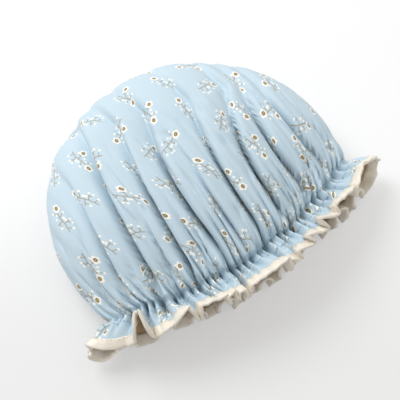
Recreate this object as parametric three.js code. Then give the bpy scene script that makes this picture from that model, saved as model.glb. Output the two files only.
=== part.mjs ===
import * as THREE from 'three';

// A bath cap of printed cotton lying on its side, in millimetres: +X along the mouth, +Y to the tip, +Z up.

// Driving dimensions of the puffed crown
const BODY_WIDTH = 272;
const MOUTH_WIDTH = 260;
const CROWN_DEPTH = 210;
const WIDEST_AT = 0.76 * CROWN_DEPTH;
const CROWN_HEIGHT = 84;
const HIGHEST_AT = 0.52 * CROWN_DEPTH;
const TIP_HEIGHT = 34;
const UNDERSIDE_SAG = 5;
const TIP_CURL = 60;
const MOUTH_LIFT = 40;

// Mouth: heights of the two lips and how far the corners and the lower lip stand back
const UPPER_LIP = 53;
const LOWER_LIP = 11;
const CORNER_SETBACK = 33;
const LOWER_SETBACK = 18;

// Casing, frill and binding, measured along the cloth from the last ring of the crown
const CASING_WIDTH = 9;
const FRILL_LENGTH = 20;
const BINDING_WIDTH = 8;
const FRILL_RISE = 0.6;
const LEFT_FAN = 1.2;
const RIGHT_FAN = 0.8;
const FAN_POWER = 5;

// Main folds of the top from right to left: x at the mouth, half way and at the far end, the share of
// the depth where the fold starts, and how deep it gets
const TOP_FOLDS = [
  [123, 118, 112, 0.55, 6],
  [106, 95, 100, 0.26, 9],
  [74, 66, 86, 0.12, 10],
  [41, 39, 72, 0.1, 11],
  [13, 12, 30, 0.3, 10],
  [-25, -31, -10, 0, 12],
  [-57, -54, -36, 0.22, 9],
  [-89, -82, -58, -0.06, 12],
  [-113, -107, -98, 0.28, 8],
];
const UNDER_FOLD = 5;
const UNDER_FOLD_START = 0.3;
const FOLD_GROWTH = 0.35;
const FOLD_SPACING = 0.08;
const FLANK_PLACE = 0.6;
const FLANK_DEPTH = 0.3;
const DRAWN_FROM = 0.88;
const CASING_FOLD = 1;

// Waves of the frill: one to each fold, uneven in height, calmer at the corners and underneath
const BINDING_WAVE = 6;
const EDGE_WAVE = 8;
const WAVE_VARIETY = 0.22;
const VARIETY_TURNS = 7;
const VARIETY_PHASE = 0.6;
const CALM_CORNER = 0.85;
const CALM_POWER = 6;
const CALM_UNDERSIDE = 0.35;

// Layers, from the outer face of the cotton inwards
const COTTON = 0.6;
const LAYER_GAP = 0.3;
const LINING = 0.4;
const ELASTIC = 0.9;
const ELASTIC_SHARE = 0.6;
const TAPE = 0.5;
const TAPE_GAP = 0.6;
const THREAD = 0.5;
const THREAD_GAP = 0.45;

// Superellipse exponents of the plan and of the two halves of a cross section, and the powers of the
// curves along the middle line
const PLAN_POWER = 2.3;
const TOP_POWER = 2.25;
const UNDER_POWER = 3.2;
const FRONT_POWER = 2;
const TIP_CURL_POWER = 2.4;
const BELLY_SHARE = 0.38;

const smooth = (from, to, value) => THREE.MathUtils.smoothstep(value, from, to);
const signedPower = (value, power) => Math.sign(value) * Math.abs(value) ** power;
const arch = (share, power) => Math.sqrt(Math.max(0, 1 - share ** power));

// Half width and depth below the tip, for a station from 0 at the tip to 1 at the casing
function planAt(station) {
  const angle = station * Math.PI;
  const half = BODY_WIDTH / 2;
  const neck = MOUTH_WIDTH / 2;
  const along = -Math.cos(angle);
  if (along <= 0) {
    const depth = WIDEST_AT * (1 - (-along) ** (2 / PLAN_POWER));
    return { width: half * Math.sin(angle) ** (2 / PLAN_POWER), depth };
  }
  const width = neck + (half - neck) * arch(along, 2);
  return { width, depth: WIDEST_AT + (CROWN_DEPTH - WIDEST_AT) * along };
}

// Heights of the top and of the underside at a depth below the tip
function heightsAt(depth) {
  const behind = Math.max(0, 1 - depth / HIGHEST_AT);
  const ahead = Math.max(0, (depth - HIGHEST_AT) / (CROWN_DEPTH - HIGHEST_AT));
  const foot = depth < HIGHEST_AT ? TIP_HEIGHT : UPPER_LIP;
  const swell = depth < HIGHEST_AT ? arch(behind, TOP_POWER) : Math.max(0, 1 - ahead ** FRONT_POWER);
  const top = foot + (CROWN_HEIGHT - foot) * swell;
  const curl = Math.max(0, 1 - depth / TIP_CURL);
  const lift = Math.max(0, 1 - (CROWN_DEPTH - depth) / MOUTH_LIFT);
  const tuck = (TIP_HEIGHT + UNDERSIDE_SAG) * (1 - arch(curl, TIP_CURL_POWER));
  return { top, under: tuck + (LOWER_LIP + UNDERSIDE_SAG) * lift ** 2 - UNDERSIDE_SAG };
}

// Half a cross section of the crown: the upper half for side 1, the lower half for side -1
class HalfSection extends THREE.Curve {
  constructor(station, side) {
    super();
    this.arcLengthDivisions = 600;
    this.station = station;
    this.side = side;
  }

  getPoint(share, target = new THREE.Vector3()) {
    const { width, depth } = planAt(this.station);
    const { top, under } = heightsAt(depth);
    const belly = under + BELLY_SHARE * (top - under);
    const upper = this.side > 0;
    const power = 2 / (upper ? TOP_POWER : UNDER_POWER);
    const angle = Math.PI * share;
    const across = this.side * signedPower(Math.cos(angle), power);
    const rise = Math.max(0, Math.sin(angle)) ** power;
    const forward = (depth / CROWN_DEPTH) ** 2;
    const setback = CORNER_SETBACK * across ** 2 + (upper ? 0 : LOWER_SETBACK * Math.sin(angle));
    const height = upper ? belly + (top - belly) * rise : belly - (belly - under) * rise;
    return target.set(width * across, forward * setback - depth, height);
  }
}

const FOLDS = 2 * TOP_FOLDS.length;
const reachAt = (station) => planAt(station).depth / CROWN_DEPTH;

// Where a fold of the top lies at a share of the depth
function foldAt([atMouth, halfWay, atEnd, start], reach) {
  const along = THREE.MathUtils.clamp((reach - start) / (1 - start), 0, 1);
  const bow = halfWay - (atMouth + atEnd) / 2;
  return THREE.MathUtils.lerp(atEnd, atMouth, along) + 4 * bow * along * (1 - along);
}

// Places of the folds across a ring from 1 to -1, kept apart where the ring is narrow
function foldPlaces(station) {
  const { width } = planAt(station);
  const places = TOP_FOLDS.map((fold) => foldAt(fold, reachAt(station)) / width);
  places.forEach((place, k) => { places[k] = Math.min(place, (places[k - 1] ?? 1) - FOLD_SPACING); });
  places.reverse();
  places.forEach((place, k) => { places[k] = Math.max(place, (places[k - 1] ?? -1) + FOLD_SPACING); });
  return places.reverse();
}

// Shares of a half section at which its folds lie: the named ones on top, even ones underneath
function valleys(section) {
  if (section.side < 0) return TOP_FOLDS.map((_, k) => section.getUtoTmapping((k + 0.5) / TOP_FOLDS.length));
  return foldPlaces(section.station).map((place) => Math.acos(signedPower(place, TOP_POWER / 2)) / Math.PI);
}

// Points of one half of a ring: crests, folds and their flanks, drawn to even spaces at the mouth
function halfRing(section, each) {
  const low = valleys(section);
  const drawn = smooth(DRAWN_FROM, 1, reachAt(section.station));
  const middle = (k) => (low[k - 1] + low[k]) / 2;
  const crests = [0, ...low.slice(1).map((_, k) => middle(k + 1)), 1];
  const shares = low.flatMap((valley, k) => {
    const before = THREE.MathUtils.lerp(crests[k], valley, FLANK_PLACE);
    const after = THREE.MathUtils.lerp(crests[k + 1], valley, FLANK_PLACE);
    return each === 4 ? [crests[k], before, valley, after] : [crests[k], valley].slice(0, each);
  });
  const even = (j) => section.getUtoTmapping(j / shares.length);
  return shares.map((share, j) => section.getPoint(THREE.MathUtils.lerp(share, even(j), drawn)));
}

function ringAt(station, each) {
  return [1, -1].flatMap((side) => halfRing(new HalfSection(station, side), each));
}

// The cloth as rows of points round the mouth, the first row being the tip of the crown
const STATIONS = [0.126, 0.243, 0.35, 0.445, 0.585, 0.79, 1];
const POINTS_PER_FOLD = [1, 2, 2, 4, 4, 4, 4];
const tip = new THREE.Vector3(0, 0, TIP_HEIGHT);
const rows = [[tip], ...STATIONS.map((station, k) => ringAt(station, POINTS_PER_FOLD[k]))];
const CASING_TOP = rows.length - 1;

function starts() {
  return rows.map((_, k) => rows.slice(0, k).reduce((sum, row) => sum + row.length, 0));
}

// Triangles between two neighbouring rows, facing away from the inside of the cap
function stripFaces(first, a, second, b) {
  const faces = [];
  for (let k = 0; k < a; k += 1) {
    const next = (k + 1) % a;
    if (a === b) {
      faces.push([first + k, first + next, second + next]);
      faces.push([first + k, second + next, second + k]);
    } else {
      faces.push([first + k, second + 2 * k + 1, second + 2 * k]);
      faces.push([first + k, first + next, second + 2 * k + 1]);
      faces.push([first + next, second + (2 * k + 2) % b, second + 2 * k + 1]);
    }
  }
  return faces;
}

function clothFaces() {
  const at = starts();
  const faces = rows[1].map((_, k) => [0, 1 + (k + 1) % rows[1].length, 1 + k]);
  for (let k = 1; k + 1 < rows.length; k += 1) {
    faces.push(...stripFaces(at[k], rows[k].length, at[k + 1], rows[k + 1].length));
  }
  return faces;
}

function geometryOf(points, faces) {
  const geometry = new THREE.BufferGeometry();
  const flat = points.flatMap((p) => [p.x, p.y, p.z]);
  geometry.setAttribute('position', new THREE.Float32BufferAttribute(flat, 3));
  geometry.setIndex(faces.flat());
  geometry.computeVertexNormals();
  return geometry;
}

// Outward direction of the cloth at each point, row by row
function rowNormals() {
  const normals = geometryOf(rows.flat(), clothFaces()).getAttribute('normal');
  const at = starts();
  const read = (k, j) => new THREE.Vector3().fromBufferAttribute(normals, at[k] + j);
  return rows.map((row, k) => row.map((_, j) => read(k, j)));
}

const wavePhase = (j, count) => -Math.cos((2 * Math.PI * FOLDS * j) / count);
const turnWave = (j, count) => Math.sin((2 * Math.PI * VARIETY_TURNS * j) / count + VARIETY_PHASE);
const variety = (j, count) => 1 + WAVE_VARIETY * turnWave(j, count);

// How far point j of a ring lies below the unfolded form
function sunkAt(j, each, reach) {
  const fold = Math.floor(j / each);
  const part = (j % each) / each;
  if (part === 0) return 0;
  const [, , , start, depth] = TOP_FOLDS[fold] ?? [0, 0, 0, UNDER_FOLD_START, UNDER_FOLD];
  const drawn = smooth(DRAWN_FROM, 1, reach);
  const full = depth * smooth(start, start + FOLD_GROWTH, reach) * (1 - drawn) + CASING_FOLD * drawn;
  return part === 0.5 ? full : full * FLANK_DEPTH;
}

// Folds sink into the crown and deepen towards the casing, which draws them flat again
function sinkFolds() {
  const normals = rowNormals();
  STATIONS.forEach((station, k) => {
    rows[k + 1].forEach((point, j) => {
      point.addScaledVector(normals[k + 1][j], -sunkAt(j, POINTS_PER_FOLD[k], reachAt(station)));
    });
  });
}

sinkFolds();

// Casing and frill run on from the crown's last ring, fanning out at the corners of the mouth; the frill of
// the upper lip stands up from its casing
const round = rows[CASING_TOP].length;
const frillFrames = rows[CASING_TOP].map((point, j) => {
  const before = rows[CASING_TOP][(j + round - 1) % round];
  const after = rows[CASING_TOP][(j + 1) % round];
  const across = THREE.MathUtils.clamp((2 * point.x) / MOUTH_WIDTH, -1, 1);
  const fan = (across < 0 ? LEFT_FAN : RIGHT_FAN) * signedPower(across, FAN_POWER);
  const upper = Math.max(0, Math.sin((2 * Math.PI * j) / round));
  const out = new THREE.Vector3(Math.sin(fan), -Math.cos(fan), 0);
  const rise = new THREE.Vector3(out.x, out.y, FRILL_RISE * upper).normalize();
  const side = new THREE.Vector3().subVectors(after, before).normalize();
  const face = new THREE.Vector3().crossVectors(side, rise).normalize();
  const under = Math.max(0, -Math.sin((2 * Math.PI * j) / round));
  const calm = 1 - CALM_CORNER * across ** CALM_POWER - CALM_UNDERSIDE * under;
  return { foot: point.clone().addScaledVector(out, CASING_WIDTH), rise, face, calm };
});

function frillRow(length, wave) {
  return frillFrames.map(({ foot, rise, face, calm }, j) => {
    const lift = wave * calm * wavePhase(j, round) * variety(j, round);
    return foot.clone().addScaledVector(rise, length).addScaledVector(face, lift);
  });
}

rows.push(frillRow(0, 0));
rows.push(frillRow(FRILL_LENGTH - BINDING_WIDTH, BINDING_WAVE));
rows.push(frillRow(FRILL_LENGTH, EDGE_WAVE));
const CASING_END = CASING_TOP + 1;
const BINDING_TOP = CASING_TOP + 2;
const EDGE = CASING_TOP + 3;

// The cloth rests flat where it meets the table
rows.flat().forEach((point) => { point.z = Math.max(0, point.z); });

const normals = rowNormals();
const inCasing = (k) => k === CASING_TOP || k === CASING_END;
const lifted = (k, j, height) => rows[k][j].clone().addScaledVector(normals[k][j], height);

// Depths of the layers below the cloth's outer face; the casing opens to hold the elastic
const channel = ELASTIC + LAYER_GAP;
const cottonFace = (k) => (inCasing(k) ? channel / 2 : 0);
const liningFace = (k) => -COTTON - LAYER_GAP - (inCasing(k) ? channel / 2 : 0);

// A thin closed sheet between two depths of the cloth, joined along the frill's edge
function sheet(outerAt, thickness) {
  const outer = rows.flatMap((row, k) => row.map((_, j) => lifted(k, j, outerAt(k))));
  const inner = rows.flatMap((row, k) => row.map((_, j) => lifted(k, j, outerAt(k) - thickness)));
  const faces = clothFaces();
  const shift = outer.length;
  const rim = shift - round;
  const closing = stripFaces(rim, round, rim + shift, round);
  const back = faces.map(([a, b, c]) => [a + shift, c + shift, b + shift]);
  return geometryOf([...outer, ...inner], [...faces, ...back, ...closing]);
}

// A closed band round the mouth; profile(j) lists one cross section's corners in order, and the
// sides in turned are split like the cloth that they lie along
function band(profile, turned = []) {
  const sections = Array.from({ length: round }, (_, j) => profile(j));
  const corners = sections[0].length;
  const faces = [];
  for (let j = 0; j < round; j += 1) {
    const next = (j + 1) % round;
    for (let c = 0; c < corners; c += 1) {
      const d = (c + 1) % corners;
      const [a, b] = [j * corners + c, j * corners + d];
      const [e, f] = [next * corners + c, next * corners + d];
      faces.push(...(turned.includes(c) ? [[a, e, b], [e, f, b]] : [[a, e, f], [a, f, b]]));
    }
  }
  return geometryOf(sections.flat(), faces);
}

// Elastic: a flat strip in the middle of the casing
const elasticFrom = (1 - ELASTIC_SHARE) / 2;
function casingPoint(j, share, height) {
  return lifted(CASING_TOP, j, height).lerp(lifted(CASING_END, j, height), share);
}

const elasticTop = channel / 2 - COTTON - LAYER_GAP;
const elasticStrip = (j) => [
  casingPoint(j, elasticFrom, elasticTop),
  casingPoint(j, 1 - elasticFrom, elasticTop),
  casingPoint(j, 1 - elasticFrom, elasticTop - ELASTIC),
  casingPoint(j, elasticFrom, elasticTop - ELASTIC),
];

// Binding: tape folded round the edge of both layers
const tapeInside = liningFace(EDGE) - LINING - TAPE_GAP;
const runOut = (j) => new THREE.Vector3().subVectors(rows[EDGE][j], rows[BINDING_TOP][j]).normalize();
const pastEdge = (j, height, past) => lifted(EDGE, j, height).addScaledVector(runOut(j), past);
const bindingFold = (j) => [
  lifted(BINDING_TOP, j, TAPE_GAP + TAPE),
  pastEdge(j, TAPE_GAP + TAPE, TAPE_GAP + TAPE),
  pastEdge(j, tapeInside - TAPE, TAPE_GAP + TAPE),
  lifted(BINDING_TOP, j, tapeInside - TAPE),
  lifted(BINDING_TOP, j, tapeInside),
  pastEdge(j, tapeInside, TAPE_GAP),
  pastEdge(j, TAPE_GAP, TAPE_GAP),
  lifted(BINDING_TOP, j, TAPE_GAP),
];

// Seam thread laid along a row of the cloth, on the outside for side 1 and on the inside for side -1
function seam(k, floor, side, from, to) {
  const toward = (j) => new THREE.Vector3().subVectors(rows[k + 1][j], rows[k][j]).normalize();
  const place = (j, along, height) => lifted(k, j, height).addScaledVector(toward(j), along);
  const base = floor + side * THREAD_GAP;
  const crest = base + side * THREAD;
  const section = (j) => [place(j, from, base), place(j, (from + to) / 2, crest), place(j, to, base)];
  return band((j) => (side > 0 ? section(j) : section(j).reverse()));
}

const inside = (k) => liningFace(k) - LINING;
const half = THREAD / 2;
const tapeOut = TAPE_GAP + TAPE;
const tapeIn = tapeInside - TAPE;

const material = (color, roughness) => new THREE.MeshStandardMaterial({ color, roughness, metalness: 0 });
const cotton = material(0xbcd6e6, 0.9);
const film = material(0xefe6d6, 0.45);
const satin = material(0xf3ecdf, 0.4);
const rubber = material(0xf2f0ea, 0.85);
const blueThread = material(0xa9c4d6, 0.7);
const creamThread = material(0xe9dfcc, 0.7);

const cap = new THREE.Group();
cap.name = 'bath_cap';

function addPiece(name, geometry, look) {
  const piece = new THREE.Mesh(geometry, look);
  piece.name = name;
  cap.add(piece);
}

addPiece('outer_shell', sheet(cottonFace, COTTON), cotton);
addPiece('lining', sheet(liningFace, LINING), film);
addPiece('elastic_band', band(elasticStrip, [2]), rubber);
addPiece('edge_binding', band(bindingFold, [2, 6]), satin);
addPiece('casing_needle_thread_upper', seam(CASING_TOP, cottonFace(CASING_TOP), 1, -half, half), blueThread);
addPiece('casing_bobbin_thread_upper', seam(CASING_TOP, inside(CASING_TOP), -1, -half, half), creamThread);
addPiece('casing_needle_thread_lower', seam(CASING_END, cottonFace(CASING_END), 1, -half, half), blueThread);
addPiece('casing_bobbin_thread_lower', seam(CASING_END, inside(CASING_END), -1, -half, half), creamThread);
addPiece('binding_needle_thread', seam(BINDING_TOP, tapeOut, 1, half, 3 * half), creamThread);
addPiece('binding_bobbin_thread', seam(BINDING_TOP, tapeIn, -1, half, 3 * half), creamThread);

// The frame's origin is on the table under the middle of the cap
const extent = new THREE.Box3().setFromObject(cap);
const middle = extent.getCenter(new THREE.Vector3());
cap.position.set(-middle.x, -middle.y, -extent.min.z);

export default cap;
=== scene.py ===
import math

import bpy
import numpy as np
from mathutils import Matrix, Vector


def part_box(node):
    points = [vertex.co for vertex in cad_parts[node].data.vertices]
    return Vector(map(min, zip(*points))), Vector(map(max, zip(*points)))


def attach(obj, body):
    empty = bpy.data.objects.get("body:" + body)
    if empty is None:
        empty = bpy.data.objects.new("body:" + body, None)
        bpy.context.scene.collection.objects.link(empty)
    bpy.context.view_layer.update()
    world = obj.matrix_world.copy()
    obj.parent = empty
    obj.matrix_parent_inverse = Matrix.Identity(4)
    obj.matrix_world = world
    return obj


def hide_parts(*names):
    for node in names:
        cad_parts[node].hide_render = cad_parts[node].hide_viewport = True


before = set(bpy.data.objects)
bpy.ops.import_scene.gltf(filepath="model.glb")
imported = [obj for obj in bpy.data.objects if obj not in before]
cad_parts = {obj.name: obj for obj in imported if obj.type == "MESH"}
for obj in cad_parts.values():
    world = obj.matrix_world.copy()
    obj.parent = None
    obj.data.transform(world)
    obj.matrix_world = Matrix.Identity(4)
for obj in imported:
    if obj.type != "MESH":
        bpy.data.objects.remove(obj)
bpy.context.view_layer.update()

# Sizes of the cap in millimetres, as in the part's source
BODY_WIDTH = 272
MOUTH_WIDTH = 260
CROWN_DEPTH = 210
WIDEST_AT = 0.76 * CROWN_DEPTH
CROWN_HEIGHT = 84
HIGHEST_AT = 0.52 * CROWN_DEPTH
TIP_HEIGHT = 34
UNDERSIDE_SAG = 5
UPPER_LIP = 53
LOWER_LIP = 11
CORNER_SETBACK = 33
LOWER_SETBACK = 18
CASING_WIDTH = 9
FRILL_LENGTH = 20
BINDING_WIDTH = 8
LEFT_FAN = 1.45
RIGHT_FAN = 0.8

# How round the plan, the top and the underside are
PLAN_POWER = 2.3
TOP_POWER = 2.25
UNDER_POWER = 3.2
FRONT_POWER = 2.0
BELLY_SHARE = 0.38
TIP_CURL = 60
TIP_CURL_POWER = 2.4
MOUTH_LIFT = 40

# The cloth's grid, and the points of the form from which it is laid
INNER_ROWS = 88
OUTER_ROWS = 46
CASING_ROWS = 6
FRILL_ROWS = 14
INNER_RADIUS = 130
SAMPLES = 2880
SECTION_POINTS = 721
LINE_POINTS = 2001

# Thicknesses and gaps of the layers in millimetres
LINING_OFFSET = 0.9
TAPE_OUTSIDE = 0.75
TAPE_INSIDE = 0.25
TAPE_PUFF = (0, 0, 0.2, 0.15, 0.1, 0)
# Stretch that draws the tape's bumps and its painted sheen and shade into streaks
TAPE_STREAKS = (0.4, 3, 1)
ELASTIC_OUTSIDE = 0.3
ELASTIC_INSIDE = 0.6
TABLE_GAP = 1.3

MM = 0.001
NEAR_ZERO = 1e-9
rng = np.random.default_rng(11)


def smooth(low, high, value):
    """0 below low, 1 above high and a smooth step between them."""
    share = np.clip((value - low) / (high - low), 0, 1)
    return share * share * (3 - 2 * share)


def norms(vectors):
    return np.linalg.norm(vectors, axis=-1, keepdims=True)


def unit(vectors):
    return vectors / np.maximum(norms(vectors), NEAR_ZERO)


class Noise:
    """Smooth noise on a table of random numbers, which repeats along its first axis."""

    def __init__(self, around, along):
        self.table = rng.uniform(-1, 1, (around, along))

    def __call__(self, turn, place=0.5):
        around, along = self.table.shape
        x = np.mod(turn, 1) * around
        y = np.clip(place, 0, 1) * (along - 1.001)
        i = np.floor(x).astype(int)
        j = np.floor(y).astype(int)
        fx = smooth(0, 1, x - i)
        fy = smooth(0, 1, y - j)
        table = self.table
        near = table[i % around, j] * (1 - fx) + table[(i + 1) % around, j] * fx
        far = table[i % around, j + 1] * (1 - fx) + table[(i + 1) % around, j + 1] * fx
        return near * (1 - fy) + far * fy


# The puffed form without folds


def plan_at(station):
    """Depth from the crown's tip and half width of the ring at a station."""
    angle = station * math.pi
    along = -np.cos(angle)
    half, neck = BODY_WIDTH / 2, MOUTH_WIDTH / 2
    round_depth = WIDEST_AT * (1 - np.maximum(0, -along) ** (2 / PLAN_POWER))
    round_width = half * np.sin(angle) ** (2 / PLAN_POWER)
    front_depth = WIDEST_AT + (CROWN_DEPTH - WIDEST_AT) * along
    front_width = neck + (half - neck) * np.sqrt(np.maximum(0, 1 - along**2))
    back = along <= 0
    return np.where(back, round_depth, front_depth), np.where(back, round_width, front_width)


def heights_at(depth):
    """Heights of the underside and the top on the middle line."""
    behind = np.maximum(0, 1 - depth / HIGHEST_AT)
    ahead = np.maximum(0, (depth - HIGHEST_AT) / (CROWN_DEPTH - HIGHEST_AT))
    back = depth < HIGHEST_AT
    foot = np.where(back, TIP_HEIGHT, UPPER_LIP)
    swell = np.where(
        back,
        np.sqrt(np.maximum(0, 1 - behind**TOP_POWER)),
        np.maximum(0, 1 - ahead**FRONT_POWER),
    )
    top = foot + (CROWN_HEIGHT - foot) * swell
    curl = np.maximum(0, 1 - depth / TIP_CURL)
    lift = np.maximum(0, 1 - (CROWN_DEPTH - depth) / MOUTH_LIFT)
    tuck = (TIP_HEIGHT + UNDERSIDE_SAG) * (1 - np.sqrt(np.maximum(0, 1 - curl**TIP_CURL_POWER)))
    under = tuck + (LOWER_LIP + UNDERSIDE_SAG) * lift**2 - UNDERSIDE_SAG
    return under, top


def half_section(station, upper):
    """Points of the upper or lower half of a ring, evenly spaced in angle."""
    depth, width = plan_at(station)
    under, top = heights_at(depth)
    belly = under + BELLY_SHARE * (top - under)
    angle = np.linspace(0, math.pi, SECTION_POINTS)
    power = 2 / (TOP_POWER if upper else UNDER_POWER)
    cosine = np.cos(angle)
    across = np.sign(cosine) * np.abs(cosine) ** power * (1 if upper else -1)
    rise = np.maximum(0, np.sin(angle)) ** power
    setback = CORNER_SETBACK * across**2 + (0 if upper else LOWER_SETBACK * np.sin(angle))
    forward = (depth / CROWN_DEPTH) ** 2
    height = belly + (top - belly) * rise if upper else belly - (belly - under) * rise
    return np.stack([width * across, forward * setback - depth, height], axis=1)


TURN = np.arange(SAMPLES) / SAMPLES
UPPER = TURN < 0.5


def ring(station):
    """Points of a whole ring, the upper half first, even in length."""
    points = np.empty((SAMPLES, 3))
    for upper in (True, False):
        chosen = UPPER if upper else ~UPPER
        share = 2 * TURN[chosen] - (0 if upper else 1)
        half = half_section(station, upper)
        steps = np.linalg.norm(np.diff(half, axis=0), axis=1)
        length = np.concatenate([[0], np.cumsum(steps)])
        for axis in range(3):
            points[chosen, axis] = np.interp(share * length[-1], length, half[:, axis])
    return points


PLAN_DEPTHS, PLAN_WIDTHS = plan_at(np.linspace(0, 1, LINE_POINTS))


def middle_line():
    """Length over the top from the crown's tip to the mouth."""
    _, top = heights_at(PLAN_DEPTHS)
    return np.cumsum(np.hypot(np.diff(PLAN_DEPTHS), np.diff(top)))[-1]


MOUTH_RADIUS = middle_line()
CASING_END = MOUTH_RADIUS + CASING_WIDTH
EDGE_RADIUS = CASING_END + FRILL_LENGTH


class Grid:
    """The flat cut as a grid: a square lattice at the crown, then rows of equal spokes."""

    def __init__(self):
        self.spokes = 8 * INNER_ROWS
        self.mouth_row = INNER_ROWS + OUTER_ROWS
        self.casing_row = self.mouth_row + CASING_ROWS
        ends = (INNER_RADIUS, MOUTH_RADIUS, CASING_END, EDGE_RADIUS)
        parts = zip(ends, ends[1:], (OUTER_ROWS, CASING_ROWS, FRILL_ROWS))
        outer = [np.linspace(low, high, count + 1)[1:] for low, high, count in parts]
        self.radii = np.concatenate([np.linspace(0, INNER_RADIUS, INNER_ROWS + 1), *outer])
        self.counts = [1] + [8 * k for k in range(1, INNER_ROWS + 1)]
        self.counts += [self.spokes] * (OUTER_ROWS + CASING_ROWS + FRILL_ROWS)
        self.starts = np.concatenate([[0], np.cumsum(self.counts)])
        self.faces = self.make_faces()

    def corner(self, i, j):
        """Number of the vertex at a place of the lattice."""
        k = max(abs(i), abs(j))
        if i == k:
            place = j
        elif j == k:
            place = 2 * k - i
        elif i == -k:
            place = 4 * k - j
        else:
            place = 6 * k + i
        return int(self.starts[k]) + place % max(8 * k, 1)

    def make_faces(self):
        span = range(-INNER_ROWS, INNER_ROWS + 1)
        grid = np.array([[self.corner(i, j) for j in span] for i in span])
        inner = np.stack([grid[:-1, :-1], grid[:-1, 1:], grid[1:, 1:], grid[1:, :-1]], axis=-1)
        m = np.arange(self.spokes)
        n = (m + 1) % self.spokes
        rows = []
        for row in range(INNER_ROWS, len(self.radii) - 1):
            here, there = self.starts[row], self.starts[row + 1]
            rows.append(np.stack([here + m, here + n, there + n, there + m], axis=1))
        return np.concatenate([inner.reshape(-1, 4), *rows])


def vertex_normals(points, faces):
    a, b, c, d = (points[faces[:, n]] for n in range(4))
    across = np.cross(c - a, d - b)
    normals = np.zeros_like(points)
    for n in range(4):
        np.add.at(normals, faces[:, n], across)
    return unit(normals)


# Folds of the body: x at the mouth, x half way, x at the far end, share of the depth where its crease
# starts, depth and half width of the crease
NAMED_FOLDS = (
    (-127, -124, -112, 0.55, 9, 1.8), (-113, -107, -98, 0.34, 15, 2.0),
    (-100, -98, -92, 0.70, 11, 1.6), (-89, -82, -58, 0.06, 30, 2.0),
    (-72, -70, -64, 0.60, 14, 1.7), (-57, -54, -36, 0.24, 27, 1.9),
    (-41, -43, -40, 0.62, 14, 1.7), (-25, -31, -10, 0.26, 33, 2.0),
    (-7, -9, -6, 0.58, 15, 1.7), (13, 12, 30, 0.32, 26, 1.8),
    (27, 27, 30, 0.74, 11, 1.6), (41, 39, 68, 0.36, 31, 2.0),
    (57, 56, 58, 0.74, 11, 1.6), (74, 66, 84, 0.38, 28, 1.9),
    (90, 84, 84, 0.74, 11, 1.6), (106, 95, 98, 0.42, 18, 2.2),
    (123, 118, 112, 0.60, 10, 1.8),
)
FOLD_SPAN = 122
SHORT_FOLD_START = 0.72


def random_folds(count, wander, half_way, at_end, starts, depths, widths):
    """Folds at about even places across the mouth, the rest drawn from ranges."""
    places = np.linspace(-FOLD_SPAN, FOLD_SPAN, count) + rng.uniform(-wander, wander, count)
    return tuple(
        (x, half_way * x, at_end * x, rng.uniform(*starts), rng.uniform(*depths), rng.uniform(*widths))
        for x in places
    )


UPPER_FOLDS = NAMED_FOLDS + random_folds(
    count=30, wander=3, half_way=0.985, at_end=0.97,
    starts=(SHORT_FOLD_START, 0.88), depths=(6, 12), widths=(0.9, 1.3),
)
LOWER_FOLDS = random_folds(
    count=14, wander=5, half_way=0.95, at_end=0.8, starts=(0.3, 0.6), depths=(6, 11), widths=(2, 3)
)

# Shape of a fold across itself: a sharp crease in a broad groove
CREASE_SHARE = 0.78
CREASE_LEAN = 0.42
CREASE_BOTTOM = 0.5
GROOVE_LEFT = 11
GROOVE_RIGHT = 5
GROOVE_LEAST = 0.5
GROOVE_GROWTH = 0.025
FOLD_BLEND = 4

# Where a fold grows, narrows and fades, as shares of the cap's depth
FAINT_RUN = 0.4
FAINT_SHARE = 0.14
FULL_AFTER = 0.85
GROOVE_RUN = 0.1
NARROWING = (0.25, 0.6)
CROWN_WIDENING = 1.1
FADING_FROM = 0.86
LONG_FADING = 0.6
SHORT_FADING = 0.4
LEAN_UNTIL = 0.93
LEAN_CORNER_POWER = 4

# Small creases and ripples of the body
WRINKLE_DEPTH = 3
WRINKLE_WIDTH = 0.35
WRINKLE_SPREAD = 0.9
FINE_SHARE = 0.5
RIPPLE_DEPTH = 0.7
WRINKLED_FROM = (0.15, 0.6)

# Gathers that the elastic draws, and its valley
GATHERS = 74
GATHER_DEPTH = 8
GATHER_MIDDLE = 0.65
GATHER_DRIFT = 0.45
GATHER_ROUNDNESS = 0.75
GATHER_VARIETY = 0.65
GATHER_REACH = 14
GATHER_SPREAD = 1.6
GATHER_OPENING = 0.88
GATHER_OPEN_RUN = 14
DRAWN_FROM = 0.88
PINCH = 10
PINCH_BACK = 5.5
PINCH_WIDTH = 4.5
PINCH_WANDER = 3
PINCH_LEAST = 0.4
PINCH_AT_PUCKER = 1.25
PUCKER = 0.5

# Waves and lengths of the frill
FAN_POWER = 5
CORNER_CALM = 8
CORNER_POWER = 20
WAVES = 26
WAVE_DRIFT = 0.55
WAVE_VARIETY = 0.45
WAVE_LIFT = 30
WAVE_TILT = 0.5
WAVE_LOOP = 3.4
LOOP_VARIETY = 3
UPPER_UNEVEN = 0.06
LOWER_UNEVEN = 0.25
LOWER_LONGER = 0.5

# Longer places of the frill: x, half width, how much longer, and the share of that on the upper lip
LONGER_PLACES = ((-120, 9, 0.8, 0.2), (122, 10, 0.6, 0), (92, 24, 0.5, 0))

# Shifts of a noise where it is used again
LENGTH_SHIFT = 0.37
PINCH_SHIFT = 0.21

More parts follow.
